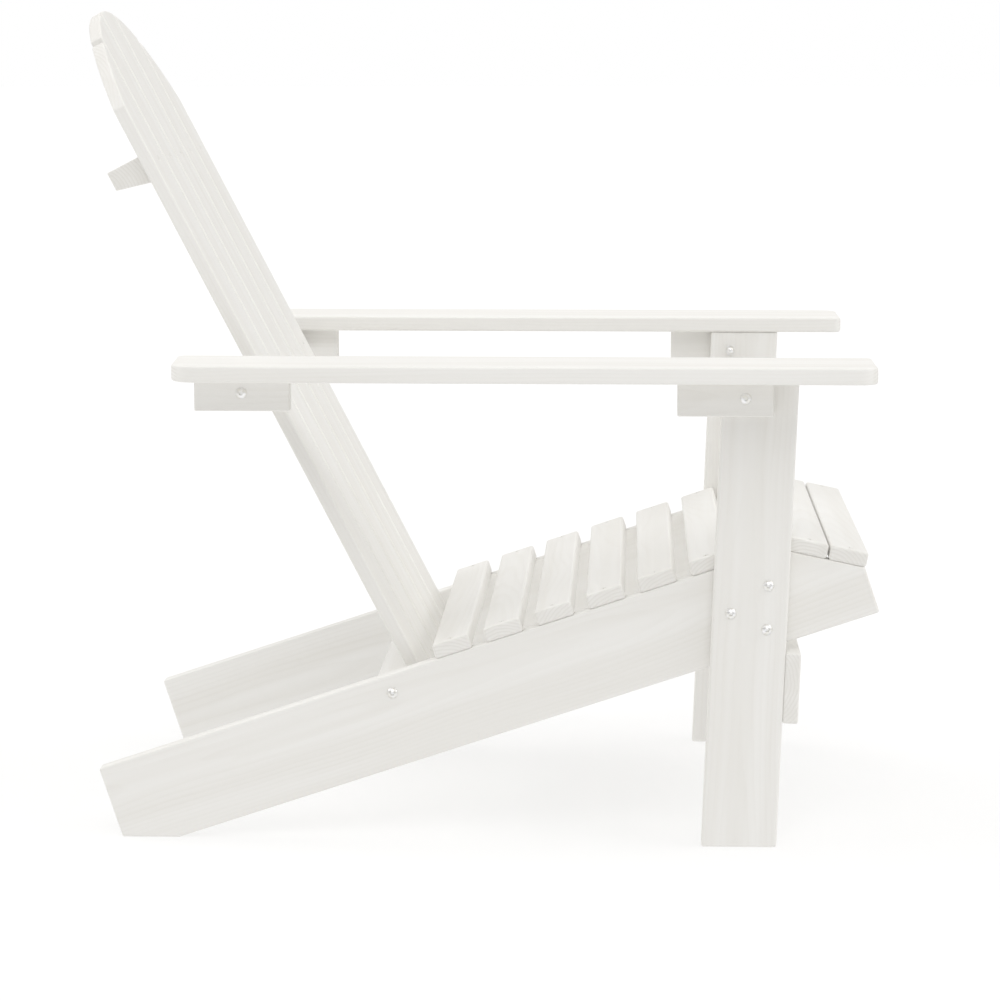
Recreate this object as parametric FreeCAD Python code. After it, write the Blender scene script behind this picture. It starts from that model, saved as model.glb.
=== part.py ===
"""Adirondack chair: a rigid bolted chair of painted softwood boards.

Millimetres. +X is the way the sitter faces, +Y is the sitter's left, +Z is up.
The origin is on the floor, at the centre of the chair's bounding box.
Boards are drawn in a datum frame whose X = 0 lies LEG_REAR_X behind the front legs' feet,
and whose Y = 0 is the chair's midplane. Every piece is shifted to the origin as it is written.
"""
import FreeCAD, Part
import math
import os

# ---------------------------------------------------------------- driving dimensions
ARRIS = 2.5                 # softened edge of the large boards
SLAT_ARRIS = 3.0            # rounder edge of the seat slats
BLOCK_ARRIS = 1.5           # edge of the small blocks and rails
JOINT_GAP = 0.2             # clearance between a bolt and its hole
OVERRUN = 2.0               # how far a cut runs past what it cuts

RAIL_THICK = 20.0
RAIL_OUTER_Y = 250.0        # outer face of each side rail, from the chair's midplane
RAIL_SLOPE = 18.5           # degrees, front end up
RAIL_DEPTH = 96.0
RAIL_TOP_REAR = (-558.0, 73.0)
NOSE_BREAK_X = 153.0        # where the rail's top edge turns down to the nose
NOSE_TOP = (243.0, 292.0)   # front end of the nose, above the square-cut front of the rail

LEG_THICK = 20.0
LEG_WIDTH = 78.0
LEG_REAR_X = 75.0           # rear edge of the leg at the floor
LEG_LEAN = 2.3              # degrees, top towards the front

ARM_TOP_Z = 510.0
ARM_THICK = 17.0
ARM_INNER_Y = 248.0
ARM_OUTER_Y = 363.0
ARM_FRONT_X = 247.0
ARM_REAR_OUTER_X = -463.0   # the rear end is cut at a slight slant
ARM_REAR_INNER_X = -470.0
ARM_CORNER_REAR = 28.0      # radius of the outer rear corner
ARM_CORNER_FRONT = 18.0     # radius of the outer front corner
ARM_CORNER_INNER = 8.0      # radius of both inner corners

BLOCK_LENGTH = 98.0
BLOCK_THICK = 20.0
BLOCKS = (                  # place, rear end, height
    ("front", 47.5, 40.0),
    ("rear", -448.0, 36.5),
)

BACK_RECLINE = 27.5         # degrees from vertical
BACK_REAR_FOOT = (-236.1, 176.8)    # a point on the rear plane of the back slats
BACK_SLATS = 5
BACK_WIDTH = 78.0
BACK_THICK = 14.0
BACK_GAP = 7.0
BACK_TOP_Z = 868.0          # highest point of the middle slat
BACK_BOTTOM_Z = 131.0       # lowest point of the slats, between the side rails
BACK_ARC_R = 250.0          # arc through the tops of the slats, in the plane of the back
BACK_CORNER = 6.0           # chamfer of each slat's lower corners

UPPER_RAIL_TOP_Z = 714.5    # top of the upper cross rail, at the slats' rear face
UPPER_RAIL_DEPTH = 40.0
UPPER_RAIL_FRONT = 31.0     # its height against the slats
UPPER_RAIL_REAR = 21.0      # its height at its rear face
UPPER_RAIL_INSET = 22.0     # its ends, in from the outer slats' edges
MIDDLE_RAIL_DEPTH = 14.0
MIDDLE_RAIL_HEIGHT = 30.0
MIDDLE_RAIL_Z = 478.5
LOWER_RAIL_DEPTH = 40.0
LOWER_RAIL_HEIGHT = 22.0
LOWER_RAIL_Z = 165.4

SEAT_WIDTH = 40.0
SEAT_THICK = 15.5
SEAT_PITCH = 56.2           # along the rail's top edge
SEAT_FIRST_X = -207.0       # rear top corner of the rearmost slat
SEAT_STRAIGHT = 7           # slats on the straight top edge
NOSE_SLAT_STARTS = (11.0, 53.0)     # rear edge of each nose slat, along the nose facet

STRETCHER_THICK = 16.0
STRETCHER_HEIGHT = 74.0
STRETCHER_BOTTOM_Z = 131.0

BOLT_D = 6.0
BOLT_HEAD_D = 12.0
BOLT_HEAD_H = 3.5
BOLT_SOCKET_AF = 4.0
BOLT_SOCKET_DEPTH = 2.6
BOLT_PROUD = 1.0            # how far a bolt's end stands out of its nut
WASHER_D = 12.0
WASHER_THICK = 1.4
NUT_AF = 10.0
NUT_HEIGHT = 5.0
DOME_RADIUS = 4.5           # cap of a dome nut
BARREL_D = 10.0
BARREL_LENGTH = 14.0
BARREL_INSET = 26.0         # barrel nut's axis, in from the end of its cross rail
BARREL_POCKET = 24.0        # its hole, from its middle down past the rail's underside
LEG_BOLTS = ((142.6, 275.4), (104.1, 246.2), (141.4, 229.7))
FRONT_BLOCK_BOLT = (117.0, 471.5)

SCREW_D = 3.6
SCREW_HEAD_D = 7.6
SCREW_HEAD_H = 2.6
SCREW_SLOT = 1.0            # width of its cross slot
SCREW_SLOT_LENGTH = 4.6
SCREW_SLOT_DEPTH = 1.6
SEAT_SCREW_LENGTH = 38.0
BACK_SCREW_LENGTH = 25.0
ARM_SCREW_LENGTH = 34.0
STRETCHER_SCREW_LENGTH = 40.0
SCREW_SINK = 0.15           # how far a screw's head lies under the surface
SCREW_GAP = 0.1             # clearance between a screw and its hole
ARM_SCREW_SINK = 16.0       # pocket depth of the screws driven up through the blocks
ARM_SCREW_SPREAD = 30.0     # each way from the middle of the block

# ---------------------------------------------------------------- derived dimensions
V = FreeCAD.Vector
X_AXIS = V(1, 0, 0)
Y_AXIS = V(0, 1, 0)
Z_AXIS = V(0, 0, 1)
SIDES = (("right", -1), ("left", 1))

rail_mid_y = RAIL_OUTER_Y - RAIL_THICK / 2
leg_outer_y = RAIL_OUTER_Y + LEG_THICK
block_outer_y = leg_outer_y + BLOCK_THICK
arm_bottom_z = ARM_TOP_Z - ARM_THICK
slope = math.radians(RAIL_SLOPE)
lean = math.radians(LEG_LEAN)
recline = math.radians(BACK_RECLINE)
along_rail = V(math.cos(slope), 0, math.sin(slope))
rail_normal = V(-math.sin(slope), 0, math.cos(slope))
up_back = V(-math.sin(recline), 0, math.cos(recline))
back_normal = V(math.cos(recline), 0, math.sin(recline))
back_half_width = (BACK_SLATS * BACK_WIDTH + (BACK_SLATS - 1) * BACK_GAP) / 2
rail_rear = V(RAIL_TOP_REAR[0], 0, RAIL_TOP_REAR[1])
nose_break_z = RAIL_TOP_REAR[1] + (NOSE_BREAK_X - RAIL_TOP_REAR[0]) * math.tan(slope)
nose_break = V(NOSE_BREAK_X, 0, nose_break_z)
nose_top = V(NOSE_TOP[0], 0, NOSE_TOP[1])
along_nose = (nose_top - nose_break).normalize()
nose_normal = V(-along_nose.z, 0, along_nose.x)
back_foot = V(BACK_REAR_FOOT[0], 0, BACK_REAR_FOOT[1])


# ---------------------------------------------------------------- helpers
def prism(points, y_low, y_high):
    """A board whose outline lies in the XZ plane and whose thickness runs along Y."""
    corners = [V(x, y_low, z) for x, z in points]
    outline = Part.makePolygon(corners + corners[:1])
    return Part.Face(outline).extrude(V(0, y_high - y_low, 0))


def ease(shape, radius):
    """Round every edge of a board, as a router or sanding block leaves it."""
    return shape.makeFillet(radius, shape.Edges)


def nearest_upright(shape, point):
    """The vertical edge of a shape that stands nearest to a point."""
    flat = 0.01
    upright = [e for e in shape.Edges if max(e.BoundBox.XLength, e.BoundBox.YLength) < flat]
    return min(upright, key=lambda e: e.CenterOfMass.distanceToPoint(point))


def board(corner, along, across, y_low, y_high, radius):
    """A cross board: its section starts at corner and spans the two vectors, and it runs along Y."""
    section = [corner, corner + along, corner + along + across, corner + across]
    return ease(prism([(p.x, p.z) for p in section], y_low, y_high), radius)


def point_on_back(z, depth):
    """The point at height z on the slats' rear plane, moved back by depth, square to the back."""
    along = (z - back_foot.z) / up_back.z
    return back_foot + up_back * along - back_normal * depth


def point_on_rail_top(x):
    return V(x, 0, rail_rear.z + (x - rail_rear.x) * math.tan(slope))


def hexagon(center, direction, across_flats, height):
    """A hexagonal prism from center along direction."""
    radius = across_flats / math.sqrt(3)
    corners = []
    for step in range(7):
        angle = math.radians(60 * step)
        corners.append(V(radius * math.cos(angle), radius * math.sin(angle), 0))
    solid = Part.Face(Part.makePolygon(corners)).extrude(V(0, 0, height))
    solid.Placement = FreeCAD.Placement(center, FreeCAD.Rotation(Z_AXIS, direction))
    return solid


def revolve_profile(points, center, direction):
    """Turn an outline of (radius, height) points about an axis through center along direction."""
    corners = [V(r, 0, h) for r, h in points]
    solid = Part.Face(Part.makePolygon(corners + corners[:1])).revolve(V(0, 0, 0), Z_AXIS, 360)
    solid.Placement = FreeCAD.Placement(center, FreeCAD.Rotation(Z_AXIS, direction))
    return solid


def bolt(seat, inward, shank):
    """A button-head socket bolt. seat is the face under its head, and shank runs inward.

    Head and shank are turned as one outline, because a ball and a cylinder that share a rim
    don't intersect reliably.
    """
    neck = BOLT_D / 2
    rim = BOLT_HEAD_D / 2
    dome_radius = (rim ** 2 + BOLT_HEAD_H ** 2) / (2 * BOLT_HEAD_H)
    dome_centre = BOLT_HEAD_H - dome_radius
    half_way = V(rim / 2, 0, dome_centre + math.sqrt(dome_radius ** 2 - rim ** 2 / 4))
    top = V(0, 0, BOLT_HEAD_H)
    edge = V(rim, 0, 0)
    path = [top, V(0, 0, -shank), V(neck, 0, -shank), V(neck, 0, 0), edge]
    outline = [Part.Arc(edge, half_way, top).toShape()]
    for start, end in zip(path, path[1:]):
        outline.append(Part.makeLine(start, end))
    solid = Part.Face(Part.Wire(outline)).revolve(V(0, 0, 0), Z_AXIS, 360)
    socket_floor = Z_AXIS * (BOLT_HEAD_H - BOLT_SOCKET_DEPTH)
    solid = solid.cut(hexagon(socket_floor, Z_AXIS, BOLT_SOCKET_AF, BOLT_HEAD_H))
    solid.Placement = FreeCAD.Placement(seat, FreeCAD.Rotation(Z_AXIS, inward * -1))
    return solid


def bolt_hole(seat, inward, depth):
    return Part.makeCylinder(BOLT_D / 2 + JOINT_GAP, depth, seat - inward, inward)


def washer(seat, outward):
    ring = Part.makeCylinder(WASHER_D / 2, WASHER_THICK, seat, outward)
    return ring.cut(Part.makeCylinder(BOLT_D / 2 + JOINT_GAP, WASHER_THICK, seat, outward))


def nut(seat, outward):
    """A plain hexagon nut with chamfered corners."""
    body = hexagon(seat, outward, NUT_AF, NUT_HEIGHT)
    corner = NUT_AF / math.sqrt(3)
    flat = NUT_AF / 2
    rise = (corner - flat) / 2
    limit = revolve_profile(
        [(0, 0), (flat, 0), (corner, rise), (corner, NUT_HEIGHT - rise), (flat, NUT_HEIGHT),
         (0, NUT_HEIGHT)], seat, outward)
    return body.common(limit).cut(Part.makeCylinder(BOLT_D / 2, NUT_HEIGHT, seat, outward))


def dome_nut(seat, outward):
    """A closed nut: a hexagon with a domed cap, over the bolt's end."""
    body = hexagon(seat, outward, NUT_AF, NUT_HEIGHT)
    cap = Part.makeSphere(DOME_RADIUS, seat + outward * NUT_HEIGHT)
    hole = Part.makeCylinder(BOLT_D / 2, NUT_HEIGHT, seat, outward)
    return body.fuse(cap).cut(hole).removeSplitter()


def screw(mouth, inward, length):
    """A countersunk wood screw with a point and a cross slot. mouth is the top of its head."""
    neck = SCREW_D / 2
    outline = [(0, 0), (SCREW_HEAD_D / 2, 0), (neck, SCREW_HEAD_H), (neck, length - SCREW_D),
               (0, length)]
    body = revolve_profile(outline, mouth, inward)
    for turn in (0, 90):
        slot = Part.makeBox(SCREW_SLOT_LENGTH, SCREW_SLOT, SCREW_SLOT_DEPTH)
        slot.translate(V(-SCREW_SLOT_LENGTH / 2, -SCREW_SLOT / 2, 0))
        slot.rotate(V(0, 0, 0), Z_AXIS, turn)
        slot.Placement = FreeCAD.Placement(mouth, FreeCAD.Rotation(Z_AXIS, inward)) * slot.Placement
        body = body.cut(slot)
    return body


def screw_hole(mouth, inward, length, pocket):
    """Clearance for a screw, with its countersink open to the surface pocket above its head."""
    neck = SCREW_D / 2 + SCREW_GAP
    head = SCREW_HEAD_D / 2 + SCREW_GAP
    start = -pocket - OVERRUN
    end = length + SCREW_GAP
    outline = [(0, start), (head, start), (head, 0), (neck, SCREW_HEAD_H), (neck, end), (0, end)]
    return revolve_profile(outline, mouth, inward)


def drill(node, cutters):
    parts[node] = parts[node].cut(Part.makeCompound(cutters))


parts = {}
hardware = {}


def add_hardware(node, solid):
    hardware.setdefault(node, []).append(solid)


# ---------------------------------------------------------------- boards
def side_rail(side):
    """Seat stringer: sloped top edge, sloped nose, square rear cut and a flat foot."""
    rear_cut = rail_rear - rail_normal * (rail_rear.z / rail_normal.z)
    bottom_rear = rail_rear - rail_normal * RAIL_DEPTH
    foot_front = bottom_rear - along_rail * (bottom_rear.z / along_rail.z)
    drop_to_nose = (rail_rear - nose_top).dot(rail_normal)
    nose_tip = nose_top - rail_normal * (RAIL_DEPTH - drop_to_nose)
    outline = [
        (rail_rear.x, rail_rear.z),
        (rear_cut.x, 0),
        (foot_front.x, 0),
        (nose_tip.x, nose_tip.z),
        (nose_top.x, nose_top.z),
        (nose_break.x, nose_break.z),
    ]
    inner = RAIL_OUTER_Y - RAIL_THICK
    low, high = sorted((side * inner, side * RAIL_OUTER_Y))
    return ease(prism(outline, low, high), ARRIS)


def front_leg(side):
    """Upright outside the side rail, from the floor to the underside of the armrest."""
    shift = arm_bottom_z * math.tan(lean)
    outline = [
        (LEG_REAR_X, 0),
        (LEG_REAR_X + LEG_WIDTH, 0),
        (LEG_REAR_X + LEG_WIDTH + shift, arm_bottom_z),
        (LEG_REAR_X + shift, arm_bottom_z),
    ]
    low, high = sorted((side * RAIL_OUTER_Y, side * leg_outer_y))
    return ease(prism(outline, low, high), ARRIS)


def armrest(side):
    """Flat arm board with rounded corners, larger on the outside."""
    corners = (
        (ARM_FRONT_X, ARM_INNER_Y, ARM_CORNER_INNER),
        (ARM_FRONT_X, ARM_OUTER_Y, ARM_CORNER_FRONT),
        (ARM_REAR_OUTER_X, ARM_OUTER_Y, ARM_CORNER_REAR),
        (ARM_REAR_INNER_X, ARM_INNER_Y, ARM_CORNER_INNER),
    )
    points = [V(x, side * y, arm_bottom_z) for x, y, radius in corners]
    outline = Part.makePolygon(points + points[:1])
    blank = Part.Face(outline).extrude(Z_AXIS * ARM_THICK)
    for point, (x, y, radius) in zip(points, corners):
        blank = blank.makeFillet(radius, [nearest_upright(blank, point)])
    return ease(blank, ARRIS)


def arm_block(side, rear_x, height):
    """Short block under the armrest, on the outside of the leg or the middle cross rail."""
    low_y = min(side * leg_outer_y, side * block_outer_y)
    blank = Part.makeBox(BLOCK_LENGTH, BLOCK_THICK, height, V(rear_x, low_y, arm_bottom_z - height))
    return ease(blank, BLOCK_ARRIS)


def seat_slat(index):
    """Slats A to G follow the rail's straight top; the last two lie on its nose."""
    if index < SEAT_STRAIGHT:
        top_rear = V(SEAT_FIRST_X, 0, 0) + X_AXIS * (index * SEAT_PITCH * along_rail.x)
        foot_x = top_rear.x - rail_normal.x * SEAT_THICK
        corner = point_on_rail_top(foot_x)
        along, normal = along_rail, rail_normal
    else:
        start = NOSE_SLAT_STARTS[index - SEAT_STRAIGHT]
        corner = nose_break + along_nose * start
        along, normal = along_nose, nose_normal
    slat = board(corner, along * SEAT_WIDTH, normal * SEAT_THICK, -RAIL_OUTER_Y, RAIL_OUTER_Y,
                 SLAT_ARRIS)
    return slat, corner + along * (SEAT_WIDTH / 2) + normal * SEAT_THICK, normal


def back_slat(index):
    """One slat of the back, drawn flat and then tilted. Its top follows the common arc."""
    centre_y = (index - (BACK_SLATS - 1) / 2) * (BACK_WIDTH + BACK_GAP)
    low_y = centre_y - BACK_WIDTH / 2
    high_y = centre_y + BACK_WIDTH / 2
    bottom = (BACK_BOTTOM_Z - back_foot.z) / up_back.z
    crown = (BACK_TOP_Z - BACK_THICK * back_normal.z - back_foot.z) / up_back.z
    arc_centre = crown - BACK_ARC_R

    def arc_height(y):
        return arc_centre + math.sqrt(BACK_ARC_R ** 2 - y ** 2)

    top_low = V(0, low_y, arc_height(low_y))
    top_mid = V(0, centre_y, arc_height(centre_y))
    top_high = V(0, high_y, arc_height(high_y))
    cut = BACK_CORNER
    lower = [
        V(0, high_y, bottom + cut),
        V(0, high_y - cut, bottom),
        V(0, low_y + cut, bottom),
        V(0, low_y, bottom + cut),
    ]
    edges = [Part.Arc(top_low, top_mid, top_high).toShape()]
    path = [top_high] + lower + [top_low]
    for start, end in zip(path, path[1:]):
        edges.append(Part.makeLine(start, end))
    slat = Part.Face(Part.Wire(edges)).extrude(V(BACK_THICK, 0, 0))
    slat = ease(slat, ARRIS)
    slat.rotate(V(0, 0, 0), Y_AXIS, -BACK_RECLINE)
    slat.translate(back_foot)
    return slat, centre_y


def upper_back_rail():
    """Cross rail behind the slats' upper part, thinner towards its rear edge."""
    top = point_on_back(UPPER_RAIL_TOP_Z, 0)
    rear = back_normal * -UPPER_RAIL_DEPTH
    section = [
        top,
        top + rear,
        top + rear - up_back * UPPER_RAIL_REAR,
        top - up_back * UPPER_RAIL_FRONT,
    ]
    half = back_half_width - UPPER_RAIL_INSET
    return ease(prism([(p.x, p.z) for p in section], -half, half), BLOCK_ARRIS)


def back_cross_rail(height_z, depth, height, half_length):
    """A cross rail square to the back, against the slats' rear faces."""
    corner = point_on_back(height_z, depth) - up_back * (height / 2)
    return board(corner, back_normal * depth, up_back * height, -half_length, half_length,
                 BLOCK_ARRIS)


def front_stretcher():
    """Board across the front edges of the legs, just under the side rails."""
    leg_front = LEG_REAR_X + LEG_WIDTH + STRETCHER_BOTTOM_Z * math.tan(lean)
    up_leg = V(math.sin(lean), 0, math.cos(lean))
    out_of_leg = V(math.cos(lean), 0, -math.sin(lean))
    corner = V(leg_front, 0, STRETCHER_BOTTOM_Z)
    solid = board(corner, out_of_leg * STRETCHER_THICK, up_leg * STRETCHER_HEIGHT,
                  -leg_outer_y, leg_outer_y, ARRIS)
    mouth = corner + up_leg * (STRETCHER_HEIGHT / 2) + out_of_leg * STRETCHER_THICK
    return solid, mouth, out_of_leg, up_leg


for name, side in SIDES:
    parts["side_rail_" + name] = side_rail(side)
    parts["front_leg_" + name] = front_leg(side)
    parts["armrest_" + name] = armrest(side)
    for place, rear_x, height in BLOCKS:
        parts["%s_arm_block_%s" % (place, name)] = arm_block(side, rear_x, height)

seat_faces = []
for index in range(SEAT_STRAIGHT + len(NOSE_SLAT_STARTS)):
    solid, top_middle, normal = seat_slat(index)
    parts["seat_slat_%d" % (index + 1)] = solid
    seat_faces.append((top_middle, normal))

back_centres = []
for index in range(BACK_SLATS):
    solid, centre_y = back_slat(index)
    parts["back_slat_%d" % (index + 1)] = solid
    back_centres.append(centre_y)

parts["upper_back_rail"] = upper_back_rail()
parts["middle_back_rail"] = back_cross_rail(MIDDLE_RAIL_Z, MIDDLE_RAIL_DEPTH, MIDDLE_RAIL_HEIGHT,
                                            leg_outer_y)
parts["lower_back_rail"] = back_cross_rail(LOWER_RAIL_Z, LOWER_RAIL_DEPTH, LOWER_RAIL_HEIGHT,
                                           RAIL_OUTER_Y - RAIL_THICK)
stretcher, stretcher_mouth, stretcher_out, stretcher_up = front_stretcher()
parts["front_stretcher"] = stretcher


# ---------------------------------------------------------------- hardware
def bolt_leg_to_rail(name, side):
    """Three bolts through leg and rail, with a washer and a nut inside."""
    inward = Y_AXIS * -side
    grip = LEG_THICK + RAIL_THICK
    for x, z in LEG_BOLTS:
        seat = V(x, side * leg_outer_y, z)
        inner = seat + inward * grip
        add_hardware("leg_bolts", bolt(seat, inward, grip + WASHER_THICK + NUT_HEIGHT + BOLT_PROUD))
        add_hardware("leg_washers", washer(inner, inward))
        add_hardware("leg_nuts", nut(inner + inward * WASHER_THICK, inward))
        drill("front_leg_" + name, [bolt_hole(seat, inward, grip + OVERRUN)])
        drill("side_rail_" + name, [bolt_hole(seat, inward, grip + OVERRUN)])


def bolt_front_block(name, side):
    """One bolt through block and leg, closed by a dome nut inside."""
    inward = Y_AXIS * -side
    grip = BLOCK_THICK + LEG_THICK
    seat = V(FRONT_BLOCK_BOLT[0], side * block_outer_y, FRONT_BLOCK_BOLT[1])
    add_hardware("front_block_bolts", bolt(seat, inward, grip + NUT_HEIGHT))
    add_hardware("dome_nuts", dome_nut(seat + inward * grip, inward))
    drill("front_arm_block_" + name, [bolt_hole(seat, inward, grip + OVERRUN)])
    drill("front_leg_" + name, [bolt_hole(seat, inward, grip + OVERRUN)])


def bolt_cross_rail(board_node, rail_node, centre, side, head_y, rail_end_y, bolts):
    """A bolt into the end of a cross rail, pulled tight by a barrel nut across the rail."""
    inward = Y_AXIS * -side
    seat = V(centre.x, side * head_y, centre.z)
    barrel_middle = V(centre.x, side * (rail_end_y - BARREL_INSET), centre.z)
    shank = head_y - rail_end_y + BARREL_INSET
    barrel_start = barrel_middle - up_back * (BARREL_LENGTH / 2)
    barrel = Part.makeCylinder(BARREL_D / 2, BARREL_LENGTH, barrel_start, up_back)
    thread = Part.makeCylinder(BOLT_D / 2, BARREL_D, barrel_middle + Y_AXIS * side * BARREL_D / 2,
                               inward)
    pocket_start = barrel_middle - up_back * BARREL_POCKET
    pocket = Part.makeCylinder(BARREL_D / 2 + JOINT_GAP, BARREL_POCKET + BARREL_LENGTH / 2,
                               pocket_start, up_back)
    add_hardware(bolts, bolt(seat, inward, shank))
    add_hardware("barrel_nuts", barrel.cut(thread))
    drill(board_node, [bolt_hole(seat, inward, shank + OVERRUN)])
    drill(rail_node, [bolt_hole(seat, inward, shank + BARREL_D / 2 + OVERRUN), pocket])


def screw_through(node, mouth, inward, length, sink, boards):
    """A countersunk screw sunk below the face at mouth, and its clearance in every board it passes."""
    head = mouth + inward * sink
    add_hardware(node, screw(head, inward, length))
    hole = screw_hole(head, inward, length, sink)
    for name in boards:
        drill(name, [hole])


for name, side in SIDES:
    bolt_leg_to_rail(name, side)
    bolt_front_block(name, side)
    middle_centre = point_on_back(MIDDLE_RAIL_Z, MIDDLE_RAIL_DEPTH / 2)
    lower_centre = point_on_back(LOWER_RAIL_Z, LOWER_RAIL_DEPTH / 2)
    bolt_cross_rail("rear_arm_block_" + name, "middle_back_rail", middle_centre, side,
                    block_outer_y, leg_outer_y, "rear_block_bolts")
    bolt_cross_rail("side_rail_" + name, "lower_back_rail", lower_centre, side,
                    RAIL_OUTER_Y, RAIL_OUTER_Y - RAIL_THICK, "lower_rail_bolts")

    for index, (top_middle, normal) in enumerate(seat_faces):
        mouth = V(top_middle.x, side * rail_mid_y, top_middle.z)
        screw_through("seat_screws", mouth, normal * -1, SEAT_SCREW_LENGTH, SCREW_SINK,
                      ["seat_slat_%d" % (index + 1), "side_rail_" + name])

    block_mid_y = side * (leg_outer_y + BLOCK_THICK / 2)
    for place, rear_x, height in BLOCKS:
        for offset in (-ARM_SCREW_SPREAD, ARM_SCREW_SPREAD):
            mouth = V(rear_x + BLOCK_LENGTH / 2 + offset, block_mid_y, arm_bottom_z - height)
            screw_through("arm_screws", mouth, Z_AXIS, ARM_SCREW_LENGTH, ARM_SCREW_SINK,
                          ["%s_arm_block_%s" % (place, name), "armrest_" + name])

    for offset in (-STRETCHER_HEIGHT / 4, STRETCHER_HEIGHT / 4):
        mouth = stretcher_mouth + stretcher_up * offset + Y_AXIS * side * (leg_outer_y - LEG_THICK / 2)
        screw_through("stretcher_screws", mouth, stretcher_out * -1, STRETCHER_SCREW_LENGTH,
                      SCREW_SINK, ["front_stretcher", "front_leg_" + name])

upper_rail_mid_z = UPPER_RAIL_TOP_Z - up_back.z * UPPER_RAIL_REAR / 2
CROSS_RAILS = (("upper_back_rail", upper_rail_mid_z), ("middle_back_rail", MIDDLE_RAIL_Z),
               ("lower_back_rail", LOWER_RAIL_Z))
for index, centre_y in enumerate(back_centres):
    for rail_node, height_z in CROSS_RAILS:
        face = point_on_back(height_z, 0) + back_normal * BACK_THICK + Y_AXIS * centre_y
        screw_through("back_screws", face, back_normal * -1, BACK_SCREW_LENGTH, SCREW_SINK,
                      ["back_slat_%d" % (index + 1), rail_node])

for node, solids in hardware.items():
    parts[node] = Part.makeCompound(solids)

# ---------------------------------------------------------------- origin and output
whole = Part.makeCompound(list(parts.values())).optimalBoundingBox(False, False)
to_origin = V(-(whole.XMin + whole.XMax) / 2, -(whole.YMin + whole.YMax) / 2, -whole.ZMin)

os.makedirs("parts", exist_ok=True)
for node, shape in parts.items():
    shape.translate(to_origin)
    shape.exportStep("parts/%s.step" % node)
    print("%-24s %d solids %8.1f cm3 valid %s" % (node, len(shape.Solids), shape.Volume / 1000,
                                                 shape.isValid()))
print("origin shift", to_origin, "size", whole.XLength, whole.YLength, whole.ZLength)
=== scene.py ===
"""Looks for the adirondack chair: painted softwood boards, zinc-plated hardware, soft studio light.

Metres. +X is the way the sitter faces, +Z is up, and the camera looks along +Y.
"""

import math
import random

import bpy
from mathutils import Matrix, Vector


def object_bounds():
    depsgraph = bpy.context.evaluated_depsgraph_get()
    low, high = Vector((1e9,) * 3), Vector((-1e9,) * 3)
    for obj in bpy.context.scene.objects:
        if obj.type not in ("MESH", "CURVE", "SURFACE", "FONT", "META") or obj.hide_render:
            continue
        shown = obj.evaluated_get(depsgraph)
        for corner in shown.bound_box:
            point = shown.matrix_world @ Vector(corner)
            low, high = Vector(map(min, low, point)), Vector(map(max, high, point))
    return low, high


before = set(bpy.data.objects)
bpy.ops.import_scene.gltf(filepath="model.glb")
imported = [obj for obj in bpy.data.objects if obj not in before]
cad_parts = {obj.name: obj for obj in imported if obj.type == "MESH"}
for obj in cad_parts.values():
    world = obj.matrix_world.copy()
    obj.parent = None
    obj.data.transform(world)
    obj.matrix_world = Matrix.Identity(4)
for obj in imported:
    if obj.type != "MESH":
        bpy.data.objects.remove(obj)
cad_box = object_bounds()

# ---------------------------------------------------------------- named values
RAIL_SLOPE = math.radians(18.5)       # seat rails, front end up
NOSE_DROP = math.radians(12.5)        # front of the seat, front end down
LEG_LEAN = math.radians(2.3)          # front legs, top towards the front
BACK_RECLINE = math.radians(27.5)     # back, from vertical
STRAIGHT_SLATS = 7                    # seat slats behind the nose; the later ones lie on it

CAMERA_BEHIND_NOSE = 0.2587           # camera's place, back from the chair's foremost point
CAMERA_AWAY = 3.633                   # from the chair's midplane
CAMERA_HEIGHT = 0.831
CAMERA_YAW = math.radians(2.28)       # towards the rear of the chair
CAMERA_PITCH = math.radians(6.17)     # downwards
CAMERA_LENS = 118.5
CAMERA_SHIFT_Y = -0.1
CAMERA_SENSOR = 36.0
CAMERA_SEES = 200.0                   # how far, past the floor's far corner

PAINT = (0.872, 0.864, 0.841, 1)
PAINT_THIN = (0.792, 0.775, 0.735, 1)
END_GRAIN = (0.778, 0.764, 0.730, 1)
KNOT = (0.700, 0.655, 0.575, 1)
STEEL_PALE = (0.88, 0.88, 0.89, 1)
STEEL_WARM = (0.80, 0.79, 0.75, 1)

PAINTED_OVER = ("seat_screws", "back_screws")
WARM_WHITE = (1.0, 0.995, 0.985)      # the lamps' and the room's light
SOFT_LAMPS = (                        # name, where its light comes from, degrees wide, energy
    ("front_lamp", (0.85, -0.10, 0.60), 50, 0.62),
    ("key_lamp", (0.0, -0.68, 0.73), 36, 0.54),
    ("rear_lamp", (-0.75, 0.20, 0.55), 60, 0.70),
)
RING_SPACING = 0.0036                 # width of one growth ring
PITH_DEPTH = 0.030                    # tree's centre, below the board's face
PITH_WANDER = 0.06                    # how far the centre lies to either side, both ways together
BUMP_DEPTH = 0.00035
BUMP_STRENGTH = 0.35
PAINT_SPECULAR = 0.45

# how fast each pattern changes per metre: along the grain, across the face, through the board
KNOT_CELLS = (3.0, 5.5, 0.0)
DRIFT_SCALE = (2.2, 2.0, 2.0)
WOBBLE_SCALE = (9.0, 60.0, 60.0)
FIBRE_SCALE = (14.0, 900.0, 900.0)
STREAK_SCALE = (3.0, 110.0, 110.0)
CLOUD_SCALE = (5.0, 14.0, 14.0)
BAND_SCALE = (1.6, 42.0, 42.0)

# how much wood each pattern lets through the paint, from none (0) to all (1)
LATE_WOOD_SHOWS = (0.04, 0.22)        # least and most, by the cloud pattern
BAND_SHOWS = 0.38
STREAK_SHOWS = 0.11
FIBRE_SHOWS = 0.09
EDGE_SHOWS = 0.25
KNOT_HALO_SHOWS = 0.18
KNOT_CORE_SHOWS = 0.40

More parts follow.
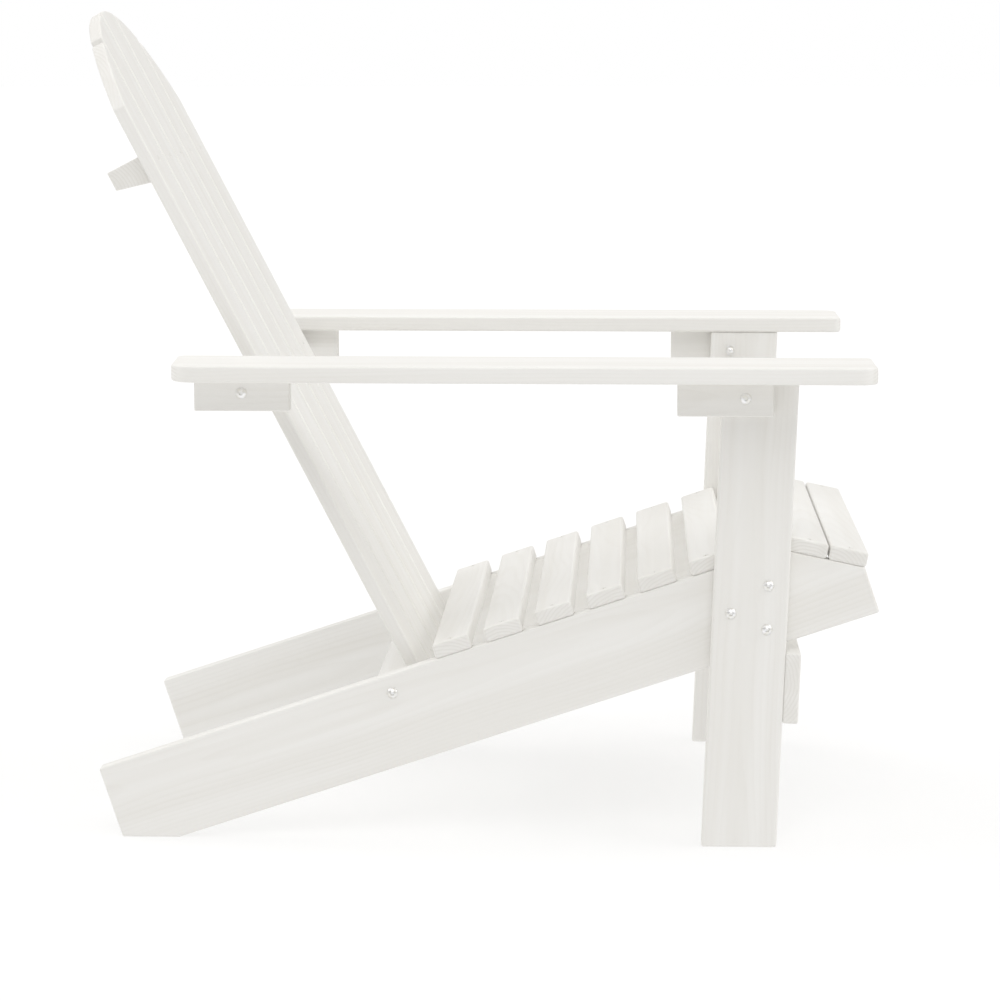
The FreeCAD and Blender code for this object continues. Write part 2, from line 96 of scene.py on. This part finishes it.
FLOOR_REACH = 60.0
FLOOR_BASE = 0.45
FLOOR_EMISSION = 0.52
SKY_LEVEL = 0.54                      # the room's light at the horizon
SKY_TOP = 0.94                        # and overhead
SKY_BEHIND_CAMERA = 0.85              # share of it that comes from the camera's side
FLOOR_GLOW = 1.05                     # light on the chair from below, in place of the floor's bounce


# ---------------------------------------------------------------- node helpers
def add_node(tree, kind, inputs=None, **settings):
    """A shader node. inputs maps a socket's name or number to a value or to a socket to link."""
    made = tree.nodes.new(kind)
    for key, value in settings.items():
        setattr(made, key, value)
    for key, value in (inputs or {}).items():
        if isinstance(value, bpy.types.NodeSocket):
            tree.links.new(value, made.inputs[key])
        else:
            made.inputs[key].default_value = value
    return made


def calc(tree, operation, a, b=0.0, c=0.0):
    return add_node(tree, "ShaderNodeMath", {0: a, 1: b, 2: c}, operation=operation).outputs[0]


def scaled(tree, vector, factors):
    made = add_node(tree, "ShaderNodeVectorMath", {0: vector, 1: factors}, operation="MULTIPLY")
    return made.outputs[0]


def ramp(tree, value, low, high, to_low=0.0, to_high=1.0):
    """value mapped smoothly from low..high to to_low..to_high, and held beyond both ends."""
    return add_node(tree, "ShaderNodeMapRange",
                    {"Value": value, "From Min": low, "From Max": high,
                     "To Min": to_low, "To Max": to_high},
                    interpolation_type="SMOOTHSTEP").outputs[0]


def noise(tree, vector, detail=2.0, roughness=0.5):
    made = add_node(tree, "ShaderNodeTexNoise",
                    {"Vector": vector, "Scale": 1.0, "Detail": detail, "Roughness": roughness})
    return made.outputs["Fac"]


def blend(tree, factor, a, b):
    """Colour a changing to colour b as factor goes from 0 to 1."""
    mix = add_node(tree, "ShaderNodeMix", data_type="RGBA")
    for key, value in (("Factor", factor), ("A", a), ("B", b)):
        target = next(s for s in mix.inputs
                      if s.name == key and (s.type == "RGBA" or key == "Factor"))
        if isinstance(value, bpy.types.NodeSocket):
            tree.links.new(value, target)
        else:
            target.default_value = value
    return next(s for s in mix.outputs if s.type == "RGBA")


# ---------------------------------------------------------------- painted softwood
def painted_fir_group():
    """Growth rings, fibres, knots and brushed paint, in a board's own axes: X along the grain,
    Y across the face, Z through the thickness. Half gives the board's half sizes."""
    tree = bpy.data.node_groups.new("painted_fir", "ShaderNodeTree")
    face = tree.interface
    face.new_socket("Place", in_out="INPUT", socket_type="NodeSocketVector")
    face.new_socket("Seed", in_out="INPUT", socket_type="NodeSocketVector")
    face.new_socket("Facing", in_out="INPUT", socket_type="NodeSocketVector")
    face.new_socket("Half", in_out="INPUT", socket_type="NodeSocketVector")
    face.new_socket("Color", in_out="OUTPUT", socket_type="NodeSocketColor")
    face.new_socket("Roughness", in_out="OUTPUT", socket_type="NodeSocketFloat")
    face.new_socket("Height", in_out="OUTPUT", socket_type="NodeSocketFloat")
    given = tree.nodes.new("NodeGroupInput")
    place, seed = given.outputs["Place"], given.outputs["Seed"]
    facing, half = given.outputs["Facing"], given.outputs["Half"]
    seeded = add_node(tree, "ShaderNodeVectorMath", {0: place, 1: seed}, operation="ADD").outputs[0]

    # knots: a few per metre, longer along the grain, and the rings flow round them
    knot_map = add_node(tree, "ShaderNodeTexVoronoi",
                        {"Vector": scaled(tree, seeded, KNOT_CELLS), "Scale": 1.0, "Randomness": 1.0},
                        voronoi_dimensions="3D", feature="F1")
    knot_far = knot_map.outputs["Distance"]
    knot_pick = add_node(tree, "ShaderNodeSeparateXYZ", {0: knot_map.outputs["Color"]}).outputs[0]
    knot_here = ramp(tree, knot_pick, 0.62, 0.66)
    knot_core = calc(tree, "MULTIPLY", ramp(tree, knot_far, 0.022, 0.040, 1.0, 0.0), knot_here)
    knot_halo = calc(tree, "MULTIPLY", ramp(tree, knot_far, 0.02, 0.15, 1.0, 0.0), knot_here)

    # growth rings about a pith that wanders below the face
    along, across, through = add_node(tree, "ShaderNodeSeparateXYZ", {0: place}).outputs[:3]
    _, seed_y, seed_z = add_node(tree, "ShaderNodeSeparateXYZ", {0: seed}).outputs[:3]
    drift = noise(tree, scaled(tree, seeded, DRIFT_SCALE), 1.0)
    tilt = calc(tree, "MULTIPLY", along, calc(tree, "SUBTRACT", calc(tree, "FRACT", seed_z), 0.5))
    side = calc(tree, "ADD", across, calc(tree, "MULTIPLY", calc(tree, "SUBTRACT",
                calc(tree, "FRACT", seed_y), 0.5), PITH_WANDER))
    side = calc(tree, "ADD", side, calc(tree, "MULTIPLY", drift, 0.02))
    deep = calc(tree, "ADD", calc(tree, "ADD", through, PITH_DEPTH), calc(tree, "MULTIPLY", tilt, 0.09))
    deep = calc(tree, "ADD", deep, calc(tree, "MULTIPLY", drift, 0.035))
    radius = calc(tree, "SQRT", calc(tree, "ADD", calc(tree, "MULTIPLY", side, side),
                                     calc(tree, "MULTIPLY", deep, deep)))
    wobble = noise(tree, scaled(tree, seeded, WOBBLE_SCALE), 2.0)
    radius = calc(tree, "ADD", radius, calc(tree, "MULTIPLY", wobble, 0.0035))
    radius = calc(tree, "ADD", radius, calc(tree, "MULTIPLY", knot_halo, 0.010))
    ring = calc(tree, "FRACT", calc(tree, "DIVIDE", radius, RING_SPACING))
    late = calc(tree, "MULTIPLY", ramp(tree, ring, 0.35, 0.86), ramp(tree, ring, 0.90, 1.0, 1.0, 0.0))

    # fibres and brush marks, drawn out along the grain
    fibre = noise(tree, scaled(tree, seeded, FIBRE_SCALE), 3.0, 0.6)
    streak = noise(tree, scaled(tree, seeded, STREAK_SCALE), 3.0, 0.6)
    cloud = noise(tree, scaled(tree, seeded, CLOUD_SCALE), 2.0)
    band = noise(tree, scaled(tree, seeded, BAND_SCALE), 2.0, 0.45)

    # cut ends, where the rings show as arcs, and rubbed edges
    facing_along = calc(tree, "ABSOLUTE", add_node(tree, "ShaderNodeSeparateXYZ", {0: facing}).outputs[0])
    end = ramp(tree, facing_along, 0.6, 0.8)
    reach = add_node(tree, "ShaderNodeVectorMath", {0: place}, operation="ABSOLUTE").outputs[0]
    inset = add_node(tree, "ShaderNodeVectorMath", {0: half, 1: reach}, operation="SUBTRACT").outputs[0]
    gap_x, gap_y, gap_z = add_node(tree, "ShaderNodeSeparateXYZ", {0: inset}).outputs[:3]
    middle = calc(tree, "MAXIMUM", calc(tree, "MINIMUM", gap_x, gap_y),
                  calc(tree, "MINIMUM", calc(tree, "MAXIMUM", gap_x, gap_y), gap_z))
    edge = calc(tree, "MULTIPLY", ramp(tree, middle, 0.0004, 0.0030, 1.0, 0.0),
                ramp(tree, streak, 0.35, 0.65))

    # how much wood shows through the paint
    shows = calc(tree, "MULTIPLY", late, ramp(tree, cloud, 0.30, 0.70, *LATE_WOOD_SHOWS))
    shows = calc(tree, "ADD", shows, ramp(tree, band, 0.36, 0.64, 0.0, BAND_SHOWS))
    for pattern, share in ((ramp(tree, streak, 0.42, 0.72), STREAK_SHOWS),
                           (ramp(tree, fibre, 0.50, 0.80), FIBRE_SHOWS),
                           (edge, EDGE_SHOWS), (knot_halo, KNOT_HALO_SHOWS)):
        shows = calc(tree, "ADD", shows, calc(tree, "MULTIPLY", pattern, share))
    shows = calc(tree, "MINIMUM", shows, 1.0)
    color = blend(tree, shows, PAINT, PAINT_THIN)
    end_shows = calc(tree, "MULTIPLY", end, calc(tree, "ADD", 0.35, calc(tree, "MULTIPLY", late, 0.55)))
    color = blend(tree, end_shows, color, END_GRAIN)
    color = blend(tree, calc(tree, "MULTIPLY", knot_core, KNOT_CORE_SHOWS), color, KNOT)

    rough = calc(tree, "ADD", 0.40, calc(tree, "MULTIPLY", streak, 0.16))
    rough = calc(tree, "ADD", rough, calc(tree, "MULTIPLY", end, 0.18))
    height = calc(tree, "ADD", calc(tree, "MULTIPLY", late, 0.55), calc(tree, "MULTIPLY", fibre, 0.45))
    height = calc(tree, "ADD", height, calc(tree, "MULTIPLY", streak, 0.55))
    height = calc(tree, "SUBTRACT", height, calc(tree, "MULTIPLY", knot_core, 0.8))

    result = tree.nodes.new("NodeGroupOutput")
    tree.links.new(color, result.inputs["Color"])
    tree.links.new(rough, result.inputs["Roughness"])
    tree.links.new(height, result.inputs["Height"])
    return tree


def board_frame(node, along, through):
    """The board's turn into its own axes, its middle and its half sizes in them."""
    along = along.normalized()
    through = (through - along * through.dot(along)).normalized()
    turn = Matrix((along, through.cross(along), through))
    corners = [turn @ v.co for v in node.data.vertices]
    low = Vector(min(c[i] for c in corners) for i in range(3))
    high = Vector(max(c[i] for c in corners) for i in range(3))
    return turn, (low + high) / 2, (high - low) / 2


def painted_board(node, along, through, seed, group):
    """A painted softwood material of the board's own, with the grain along it."""
    turn, middle, half = board_frame(node, along, through)
    draw = random.Random(seed)
    material = bpy.data.materials.new("painted_wood_" + node.name)
    material.use_nodes = True
    tree = material.node_tree
    shader = tree.nodes["Principled BSDF"]
    where = tree.nodes.new("ShaderNodeTexCoord")
    rotation = turn.to_euler("XYZ")
    place = add_node(tree, "ShaderNodeMapping",
                     {"Vector": where.outputs["Object"], "Rotation": rotation, "Location": -middle})
    facing = add_node(tree, "ShaderNodeMapping",
                      {"Vector": where.outputs["Normal"], "Rotation": rotation},
                      vector_type="NORMAL")
    shift = [draw.uniform(0, 40) for _ in range(3)]
    wood = add_node(tree, "ShaderNodeGroup", node_tree=group)
    tree.links.new(place.outputs[0], wood.inputs["Place"])
    tree.links.new(facing.outputs[0], wood.inputs["Facing"])
    wood.inputs["Seed"].default_value = shift
    wood.inputs["Half"].default_value = half
    bump = add_node(tree, "ShaderNodeBump",
                    {"Height": wood.outputs["Height"], "Strength": BUMP_STRENGTH,
                     "Distance": BUMP_DEPTH})
    tree.links.new(wood.outputs["Color"], shader.inputs["Base Color"])
    tree.links.new(wood.outputs["Roughness"], shader.inputs["Roughness"])
    tree.links.new(bump.outputs[0], shader.inputs["Normal"])
    shader.inputs["Specular IOR Level"].default_value = PAINT_SPECULAR
    paint_over(node, material)


def painted_screws():
    """Screw heads painted over with the boards that they hold."""
    material = bpy.data.materials.new("painted_steel")
    material.use_nodes = True
    tree = material.node_tree
    shader = tree.nodes["Principled BSDF"]
    place = tree.nodes.new("ShaderNodeTexCoord").outputs["Object"]
    cloud = noise(tree, scaled(tree, place, (90.0, 90.0, 90.0)), 3.0)
    tree.links.new(blend(tree, ramp(tree, cloud, 0.4, 0.7), PAINT, PAINT_THIN), shader.inputs["Base Color"])
    tree.links.new(ramp(tree, cloud, 0.3, 0.7, 0.38, 0.52), shader.inputs["Roughness"])
    shader.inputs["Specular IOR Level"].default_value = PAINT_SPECULAR
    return material


def paint_over(node, material):
    """Give every slot of a CAD node one material."""
    slots = node.data.materials
    if not slots:
        slots.append(material)
    for index in range(len(slots)):
        slots[index] = material


# ---------------------------------------------------------------- zinc-plated steel
def zinc_steel():
    """Semi-bright zinc with a faint mottle and fine scuffs."""
    material = bpy.data.materials.new("zinc_steel")
    material.use_nodes = True
    tree = material.node_tree
    shader = tree.nodes["Principled BSDF"]
    place = tree.nodes.new("ShaderNodeTexCoord").outputs["Object"]
    mottle = noise(tree, scaled(tree, place, (240.0, 240.0, 240.0)), 3.0)
    scuff = noise(tree, scaled(tree, place, (2600.0, 2600.0, 900.0)), 2.0, 0.6)
    color = blend(tree, ramp(tree, mottle, 0.35, 0.65), STEEL_PALE, STEEL_WARM)
    rough = calc(tree, "ADD", 0.22, calc(tree, "MULTIPLY", scuff, 0.20))
    bump = add_node(tree, "ShaderNodeBump", {"Height": scuff, "Strength": 0.25, "Distance": 0.0001})
    tree.links.new(color, shader.inputs["Base Color"])
    tree.links.new(rough, shader.inputs["Roughness"])
    tree.links.new(bump.outputs[0], shader.inputs["Normal"])
    shader.inputs["Metallic"].default_value = 1.0
    return material


# ---------------------------------------------------------------- dress every CAD node
def board_directions(name):
    """(along the grain, through the thickness) of a board, or None for hardware."""
    x, y, z = Vector((1, 0, 0)), Vector((0, 1, 0)), Vector((0, 0, 1))
    back_up = Vector((-math.sin(BACK_RECLINE), 0, math.cos(BACK_RECLINE)))
    back_out = Vector((math.cos(BACK_RECLINE), 0, math.sin(BACK_RECLINE)))
    if name.startswith("side_rail"):
        return Vector((math.cos(RAIL_SLOPE), 0, math.sin(RAIL_SLOPE))), y
    if name.startswith("front_leg"):
        return Vector((math.sin(LEG_LEAN), 0, math.cos(LEG_LEAN))), y
    if name.startswith("armrest"):
        return x, z
    if "arm_block" in name:
        return x, y
    if name.startswith("seat_slat"):
        on_nose = int(name.split("_")[-1]) > STRAIGHT_SLATS
        tilt = -NOSE_DROP if on_nose else RAIL_SLOPE
        return y, Vector((-math.sin(tilt), 0, math.cos(tilt)))
    if name.startswith("back_slat"):
        return back_up, back_out
    if name.endswith("back_rail"):
        return y, back_out
    if name == "front_stretcher":
        return y, x
    return None


def dress(nodes):
    fir = painted_fir_group()
    steel = zinc_steel()
    painted = painted_screws()
    for number, name in enumerate(sorted(nodes)):
        directions = board_directions(name)
        if directions:
            painted_board(nodes[name], directions[0], directions[1], number, fir)
        elif name in PAINTED_OVER:
            paint_over(nodes[name], painted)
        else:
            paint_over(nodes[name], steel)


# ---------------------------------------------------------------- floor, light and camera
def pale_floor():
    """A wide white floor under the chair. It takes shadows, but throws no light back at the chair:
    FLOOR_GLOW stands in for that, and the floor lets it through from below."""
    bottom = cad_box[0].z
    mesh = bpy.data.meshes.new("floor")
    corners = ((-1, -1), (1, -1), (1, 1), (-1, 1))
    mesh.from_pydata([(x * FLOOR_REACH, y * FLOOR_REACH, bottom) for x, y in corners], [],
                     [(0, 1, 2, 3)])
    floor = bpy.data.objects.new("floor", mesh)
    bpy.context.scene.collection.objects.link(floor)
    material = bpy.data.materials.new("floor")
    material.use_nodes = True
    shader = material.node_tree.nodes["Principled BSDF"]
    shader.inputs["Base Color"].default_value = (FLOOR_BASE, FLOOR_BASE, FLOOR_BASE, 1)
    shader.inputs["Roughness"].default_value = 0.9
    shader.inputs["Specular IOR Level"].default_value = 0.1
    shader.inputs["Emission Color"].default_value = (1, 1, 1, 1)
    shader.inputs["Emission Strength"].default_value = FLOOR_EMISSION
    mesh.materials.append(material)
    floor.visible_diffuse = False
    floor.visible_shadow = False


def studio_light():
    """A bright even room, lighter above and white to the camera, with large soft lamps."""
    world = bpy.data.worlds.new("studio")
    bpy.context.scene.world = world
    world.use_nodes = True
    tree = world.node_tree
    tree.nodes.clear()
    around = tree.nodes.new("ShaderNodeTexCoord").outputs["Generated"]
    _, away, height = add_node(tree, "ShaderNodeSeparateXYZ", {0: around}).outputs[:3]
    sky = calc(tree, "MULTIPLY", ramp(tree, height, 0.0, 0.9, SKY_LEVEL, SKY_TOP),
               ramp(tree, away, -0.9, 0.2, SKY_BEHIND_CAMERA, 1.0))
    strength = calc(tree, "MAXIMUM", sky, ramp(tree, height, -0.25, 0.0, FLOOR_GLOW, 0.0))
    room = add_node(tree, "ShaderNodeBackground", {"Color": (*WARM_WHITE, 1), "Strength": strength})
    seen = add_node(tree, "ShaderNodeBackground", {"Color": (1, 1, 1, 1), "Strength": 1.0})
    camera_ray = tree.nodes.new("ShaderNodeLightPath").outputs["Is Camera Ray"]
    mixed = add_node(tree, "ShaderNodeMixShader", {0: camera_ray, 1: room.outputs[0], 2: seen.outputs[0]})
    out = tree.nodes.new("ShaderNodeOutputWorld")
    tree.links.new(mixed.outputs[0], out.inputs["Surface"])
    for name, source, spread, energy in SOFT_LAMPS:
        soft_lamp(name, source, spread, energy)


def soft_lamp(name, source, spread, energy):
    """A large far lamp. Its light comes from the direction source, from a disc spread degrees wide."""
    lamp = bpy.data.lights.new(name, "SUN")
    lamp.energy = energy
    lamp.angle = math.radians(spread)
    lamp.color = WARM_WHITE
    holder = bpy.data.objects.new(name, lamp)
    holder.rotation_mode = "QUATERNION"
    holder.rotation_quaternion = Vector(source).to_track_quat("Z", "Y")
    bpy.context.scene.collection.objects.link(holder)


def photo_camera():
    """The camera beside the chair, placed from the chair's foremost point."""
    data = bpy.data.cameras.new("camera")
    data.sensor_width = CAMERA_SENSOR
    data.lens = CAMERA_LENS
    data.shift_y = CAMERA_SHIFT_Y
    data.clip_end = CAMERA_SEES
    camera = bpy.data.objects.new("camera", data)
    camera.location = (cad_box[1].x - CAMERA_BEHIND_NOSE, -CAMERA_AWAY, CAMERA_HEIGHT)
    camera.rotation_euler = (math.pi / 2 - CAMERA_PITCH, 0, CAMERA_YAW)
    bpy.context.scene.collection.objects.link(camera)
    bpy.context.scene.camera = camera


photo_camera()
dress(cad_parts)
pale_floor()
studio_light()
bpy.context.scene.view_settings.view_transform = "Standard"
bpy.context.scene.view_settings.look = "None"
